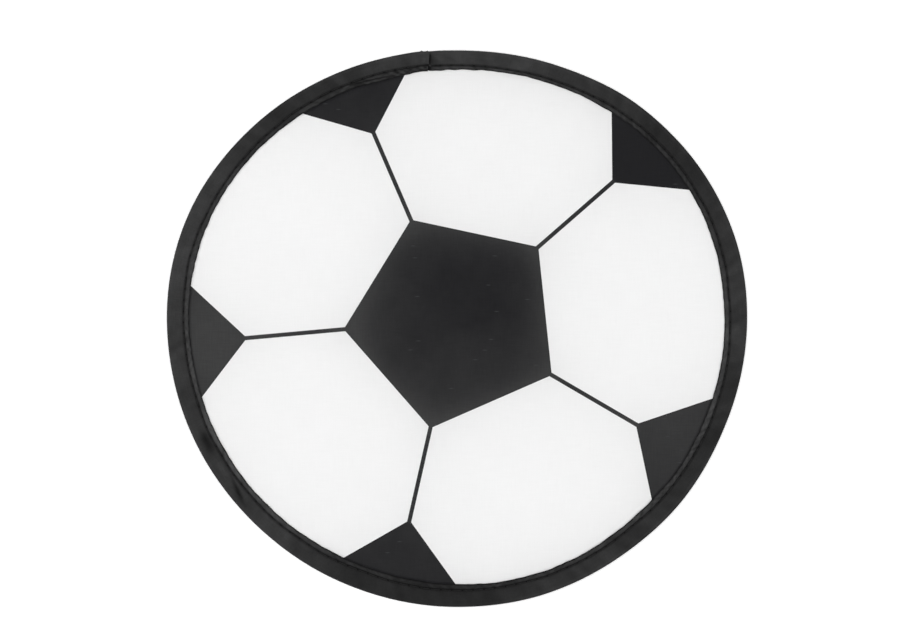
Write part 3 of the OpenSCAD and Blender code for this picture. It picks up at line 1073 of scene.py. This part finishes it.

# %% [markdown]
# ## Wear, painted light and painted shade on the binding
# Black cloth turns grey where it is rubbed. The crest of the lip and the band over the hoop are the
# lightest, unevenly round the rim, partly from wear and partly from painted light, and this is what makes
# the folds readable. The valley of the seam is painted dark as painted shade, above all round each needle
# hole. Single spots get painted highlights, and under the lap the tape is painted black as painted shadow.
# All of it is worked out for the points of the section, and becomes one attribute of the mesh.

# %% Wear and painted light of the band and the lip, and painted shade in the valley
# painted light: the band and the lip are lighter at some headings, where more light falls on them, on top of
# their wear
# heading in degrees: (width in degrees, share)
band_light_spots = {6: (17, 0.28), 84: (22, 0.38), 136: (12, 0.12), 162: (20, 0.5), 195: (16, 0.25),
              227: (12, 0.37), 270: (12, -0.06), 300: (24, 0.14)}
lip_light_spots = {350: (28, 0.6), 75: (18, 0.28), 155: (22, 0.3), 205: (27, 0.85), 222: (10, 0.17),
             262: (10, -0.2), 310: (16, 0.2)}
torn_spots = {75: (14, 0.07), 100: (9, 0.18), 282: (12, 0.12), 322: (13, 0.16)}
valley_shade_spots = {268: (25, -0.27), 305: (22, -0.1), 110: (8, -0.2), 216: (12, 0.13)}
band_worn, lip_worn, torn_share, valley_shade_base = 0.39, 0.5, 0.12, 0.3
at_h = sweep_h[:, None]
beyond_row = (line_u - row_inset(at_h)) / mm
within_lip = (lip_edge(at_h) - lip_trim - line_u) / mm
band_wear_and_light = spotted(at_h, band_worn, band_light_spots)
crossed_ripples = (ripple(at_h + 0.012 * beyond_row, 120, 340, 16, 64)
                   + ripple(at_h - 0.015 * beyond_row, 120, 340, 16, 65))
torn = 0.75 * spotted(at_h, torn_share, torn_spots) * crossed_ripples
lip_patches = np.clip(1 + 0.1 * ripple(at_h, 12, 60, 14, 61) + torn, 0.2, 2)
lip_wear_and_light = spotted(at_h, lip_worn, lip_light_spots) * lip_patches
# painted shade: the valley of the seam is darkest round each needle hole
mid_stitch = 1 - hole_pulse(sweep_h, 1.1 * mm)[:, None]
valley_shade_share = spotted(at_h, valley_shade_base, valley_shade_spots) * mid_stitch
valley_shade_share = valley_shade_share * (1 + 0.6 * ripple(at_h, 20, 180, 20, 63))
valley_painted_shade = band_wear_and_light * (0.05 + valley_shade_share)
# painted shade down the slope into the seam, and at the very edge of the lip
up_the_slope = ramp((0.05 - beyond_row) / 0.75)
up_the_lip = ramp((beyond_row - 0.3) / 0.6) * ramp(within_lip / 0.8)
crest = np.where(beyond_row < 0, valley_painted_shade + (band_wear_and_light - valley_painted_shade) * up_the_slope,
                 valley_painted_shade + (lip_wear_and_light - valley_painted_shade) * up_the_lip)
print("wear of the crests:", crest.min().round(2), "to", crest.max().round(2))

# %% Ridges, and painted highlights
# heading and inset in mm: (reach in mm, share)
painted_highlights = {(111.7, 1.6): (3.5, 0.4), (99, 1.8): (4.5, 0.3), (90, 2.4): (3, 0.25), (77, 3): (4, 0.25),
            (166, 3): (7, 0.15), (288, 3): (5, 0.15), (357, 3): (4.5, 0.2), (209, 1): (9, 0.3),
            (95.9, 3.5): (0.9, 0.4), (94.45, 1.3): (0.9, 0.35)}
ridges = [np.clip(1 + 2 * slope_relief(at_h, line_u, side) / mm, 0.12, 2) for side in (0, 1)]
# painted highlight along the outer fold, partly wear, and painted highlights at single spots
painted_shine = 1 + 0.3 * hill(line_u - 0.4 * mm, 0.5 * mm)
for (at, inset), (reach, share) in painted_highlights.items():
    away = np.hypot(off_heading(at_h, at) * mean_r, line_u - inset * mm)
    painted_shine = painted_shine + share * hill(away, reach * mm)
# painted highlight: a light streak on the band right of the lap
painted_shine = painted_shine + 0.5 * crease(at_h, line_u, (94, 2.2), (92.6, 4.8), 0.6)

# %% The shade under the lap
below_lap = 0.62 * hill(diving, 0.6) + 0.36 * hill(diving, 1.7)
shaded = 1 - (diving > -4) * ramp((line_u / mm - 0.2) / 1.4) * below_lap
shaded = shaded - 0.26 * (diving > -6) * hill(diving + 2.2, 1.6) * hill(beyond_row + 1.6, 1.4)
# painted shadow in the slot between the two lips at the lap, and in a needle hole beside it
lip_slot_shadow = 1 - 0.9 * (diving > -4) * hill(diving + 0.5, 0.7) * ramp((beyond_row - 0.3) / 0.5)
lap_hole_shadow = 1 - 0.9 * hill(from_start[:, None] / mm - 0.6, 0.3) * hill(beyond_row, 0.4)
# painted highlight on the raised knot at the lap
knot_highlight = 1.6
# painted shade along the fold of the lip left of the lap
upper_wear_and_light = ridges[0] * (1 - 0.92 * lip_fold(at_h, line_u)) * painted_shine * lip_slot_shadow * lap_hole_shadow
wear_and_light_at = crest * shaded * np.where(line_z > 0, upper_wear_and_light, ridges[1]) + knot_highlight * knot
print("wear at all points:", wear_and_light_at.min().round(2), "to", wear_and_light_at.max().round(2))

# %% Skins and ends
outer, inner = (np.dstack([rim(lean_h, line_u + side * out_u * tape_t / 2),
                           mid_z + line_z + side * out_z * tape_t / 2]) for side in (1, -1))
ring = np.concatenate([outer, inner[:, ::-1]], 1)
rows, columns = ring.shape[:2]
faces = grid_faces(rows, columns)
for first, flip in ((0, 1), ((rows - 1) * columns, -1)):
    for k in range(columns // 2 - 1):
        cap = [first + k, first + k + 1, first + columns - 2 - k, first + columns - 1 - k]
        faces.append(cap[::flip])
binding = make_piece("folded_binding", ring.reshape(-1, 3), faces)
face_outwards(binding)

# %% UV map, and wear and painted light of the binding
across = np.cumsum(np.hypot(np.diff(line_u, axis=1, prepend=line_u[:, :1]),
                            np.diff(line_z, axis=1, prepend=line_z[:, :1])), 1)
uv_u = np.repeat(((sweep_h - lap_h) * mean_r)[:, None], columns, 1)
uv_v = np.hstack([across, across[:, ::-1]])
loop_vertex = np.zeros(len(binding.data.loops), int)
binding.data.loops.foreach_get("vertex_index", loop_vertex)
uv = np.stack([uv_u.ravel()[loop_vertex], uv_v.ravel()[loop_vertex]], 1)
binding.data.uv_layers.new(name="strip").data.foreach_set("uv", uv.ravel())
# one value of wear, painted light and painted shade for each point
wear_and_light_layer = binding.data.attributes.new("wear_and_painted_light", "FLOAT", "POINT")
wear_and_light_layer.data.foreach_set("value", np.hstack([wear_and_light_at, wear_and_light_at[:, ::-1]]).ravel())
finish_piece(binding, tape_cloth)
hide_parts("binding_tape")

# %% [markdown]
# ## Lockstitch by Geometry Nodes
# A lockstitch shows the same on both faces: the thread lies on the cloth from hole to hole and dives into
# each hole, where it locks with the thread of the other face. That is a rule along a path, so it suits
# Geometry Nodes: the path has one point for each hole, is subdivided evenly, dips by a smooth step near
# each hole, and becomes a round tube. The number of parts per stitch, the radius, the depth of the dip and
# its share of the stitch are named inputs.

# %% Inputs of the Geometry Nodes tree
thread_r = 0.15 * mm
dip_depth = 0.55 * mm
stitching = bpy.data.node_groups.new("lockstitch", "GeometryNodeTree")
sockets = {label: stitching.interface.new_socket(label, in_out="INPUT", socket_type="NodeSocket" + kind)
           for label, kind in (("Path", "Geometry"), ("Parts per stitch", "Int"),
                               ("Thread radius", "Float"), ("Dip", "Float"), ("Dip share", "Float"),
                               ("Thread", "Material"))}
stitching.interface.new_socket("Stitches", in_out="OUTPUT", socket_type="NodeSocketGeometry")
given = add(stitching, "NodeGroupInput").outputs

# %% Geometry Nodes tree for the stitches
path_curve = add(stitching, "GeometryNodeMeshToCurve", {"Mesh": given["Path"]})
cuts = maths(stitching, "SUBTRACT", given["Parts per stitch"], 1)
finer = add(stitching, "GeometryNodeSubdivideCurve", {"Curve": path_curve.outputs[0], "Cuts": cuts})
index = add(stitching, "GeometryNodeInputIndex").outputs[0]
part = maths(stitching, "DIVIDE", maths(stitching, "MODULO", index, given["Parts per stitch"]),
             given["Parts per stitch"])
to_hole = maths(stitching, "MINIMUM", part, maths(stitching, "SUBTRACT", 1, part))
deepest = maths(stitching, "MULTIPLY", given["Dip"], -1)
dip = remap(stitching, to_hole, 0, given["Dip share"], deepest, 0, "SMOOTHSTEP")
offset = add(stitching, "ShaderNodeCombineXYZ", {"Z": dip}).outputs[0]
dipped = add(stitching, "GeometryNodeSetPosition", {"Geometry": finer.outputs[0], "Offset": offset})
section = add(stitching, "GeometryNodeCurvePrimitiveCircle", {"Resolution": 6,
              "Radius": given["Thread radius"]})
tube = add(stitching, "GeometryNodeCurveToMesh", {"Curve": dipped.outputs[0],
           "Profile Curve": section.outputs[0], "Fill Caps": True})
real = add(stitching, "GeometryNodeRealizeInstances", {"Geometry": tube.outputs[0]})
finished = add(stitching, "GeometryNodeSetMaterial", {"Geometry": real.outputs[0],
               "Material": given["Thread"]})
add(stitching, "NodeGroupOutput", {0: finished.outputs[0]})

# %% Both threads


def thread_piece(name, side):
    """The thread of one face: a closed path through all the holes, stitched by the node tree."""
    level = seam_height(hole_h + math.radians(1), 0 if side > 0 else 1) + tape_t / 2 + thread_r / 2
    points = np.column_stack([rim(hole_h, row_inset(hole_h)), mid_z + side * level])
    piece = make_piece(name, points, [], [(k, (k + 1) % len(points)) for k in range(len(points))])
    modifier = piece.modifiers.new("stitches", "NODES")
    modifier.node_group = stitching
    settings = {"Parts per stitch": 10, "Thread radius": thread_r, "Dip": side * dip_depth,
                "Dip share": 0.16, "Thread": thread_finish}
    for label, value in settings.items():
        modifier[sockets[label].identifier] = value
    apply_modifiers(piece)
    face_outwards(piece)
    finish_piece(piece, thread_finish)
    return piece


needle_stitches = thread_piece("needle_stitches", 1)
bobbin_stitches = thread_piece("bobbin_stitches", -1)
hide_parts("needle_thread")
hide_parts("bobbin_thread")

# %% [markdown]
# ## The sheets
# The panel and the binding are cloth: the panel is a round of its own size, and the binding a strip whose
# width is the length of its folded section. The print lies on the panel.

# %% [markdown]
# ## Floor and light
# The disc lies on a plain white surface under soft studio light. A large lamp overhead gives half of the
# light, and the world, evenly from all sides, a third. Two smaller lamps, like windows on the left and at
# the lower right, give the rest, so that slopes that face them turn a little lighter. Near the disc the
# floor is an ordinary matt white that takes the disc's shadow. Further out it fades to plain white for the
# camera, so the background stays clean at any angle.

# %% Floor
half_floor = 6
shadow_to, white_from = 0.16, 0.32
floor_corners = [(x * half_floor, y * half_floor, 0) for x, y in ((-1, -1), (1, -1), (1, 1), (-1, 1))]
floor = make_piece("floor", floor_corners, [(0, 1, 2, 3)])
floor_finish = bpy.data.materials.new("floor")
tree = fresh_tree(floor_finish)
place = add(tree, "ShaderNodeTexCoord").outputs["Object"]
distance = add(tree, "ShaderNodeVectorMath", {0: place}, operation="LENGTH").outputs["Value"]
ray = add(tree, "ShaderNodeLightPath").outputs
looked_at = maths(tree, "MAXIMUM", maths(tree, "MAXIMUM", ray["Is Camera Ray"], ray["Is Glossy Ray"]),
                  ray["Is Transmission Ray"])
matt = add(tree, "ShaderNodeBsdfDiffuse", {"Color": (0.92, 0.92, 0.92, 1)}).outputs[0]
glow = add(tree, "ShaderNodeEmission", {"Color": (1, 1, 1, 1), "Strength": 0.35}).outputs[0]
near_floor = add(tree, "ShaderNodeAddShader", {0: matt, 1: glow}).outputs[0]
far_floor = add(tree, "ShaderNodeEmission", {"Color": (1, 1, 1, 1), "Strength": 1}).outputs[0]
far = remap(tree, distance, shadow_to, white_from)
seen_floor = add(tree, "ShaderNodeMixShader", {0: far, 1: near_floor, 2: far_floor})
any_floor = add(tree, "ShaderNodeMixShader", {0: looked_at, 1: matt, 2: seen_floor.outputs[0]})
add(tree, "ShaderNodeOutputMaterial", {"Surface": any_floor.outputs[0]})
floor.data.materials.append(floor_finish)

# %% World
world_light = 0.3
world = bpy.data.worlds.new("studio")
bpy.context.scene.world = world
tree = fresh_tree(world)
ray = add(tree, "ShaderNodeLightPath").outputs
looked_at = maths(tree, "MAXIMUM", ray["Is Camera Ray"], ray["Is Transmission Ray"])
strength = remap(tree, looked_at, 0, 1, world_light, 1)
background = add(tree, "ShaderNodeBackground", {"Color": (1, 1, 1, 1), "Strength": strength})
add(tree, "ShaderNodeOutputWorld", {"Surface": background.outputs[0]})

# %% Soft lamps
# name: (place, diameter, watts)
lamps = {
    "overhead": ((0.0, 0.1, 1.7), 1.4, 14.3),
    "left_window": ((-0.75, 0.05, 1.1), 0.7, 3.6),
    "right_window": ((0.62, -0.48, 1.15), 0.65, 2.8),
}
for name, (lamp_at, size, watts) in lamps.items():
    lamp_data = bpy.data.lights.new(name, "AREA")
    lamp_data.shape = "DISK"
    lamp_data.size = size
    lamp_data.energy = watts
    away = Vector(lamp_at)
    place_object(name, lamp_data, away).rotation_euler = (-away).to_track_quat("-Z", "Y").to_euler()
    lit = watts * away.normalized().z / (math.pi**2 * away.length_squared)
    print(f"{name}: {lit:.2f} of a full white")

# %% Colour management
bpy.context.scene.view_settings.view_transform = "Standard"
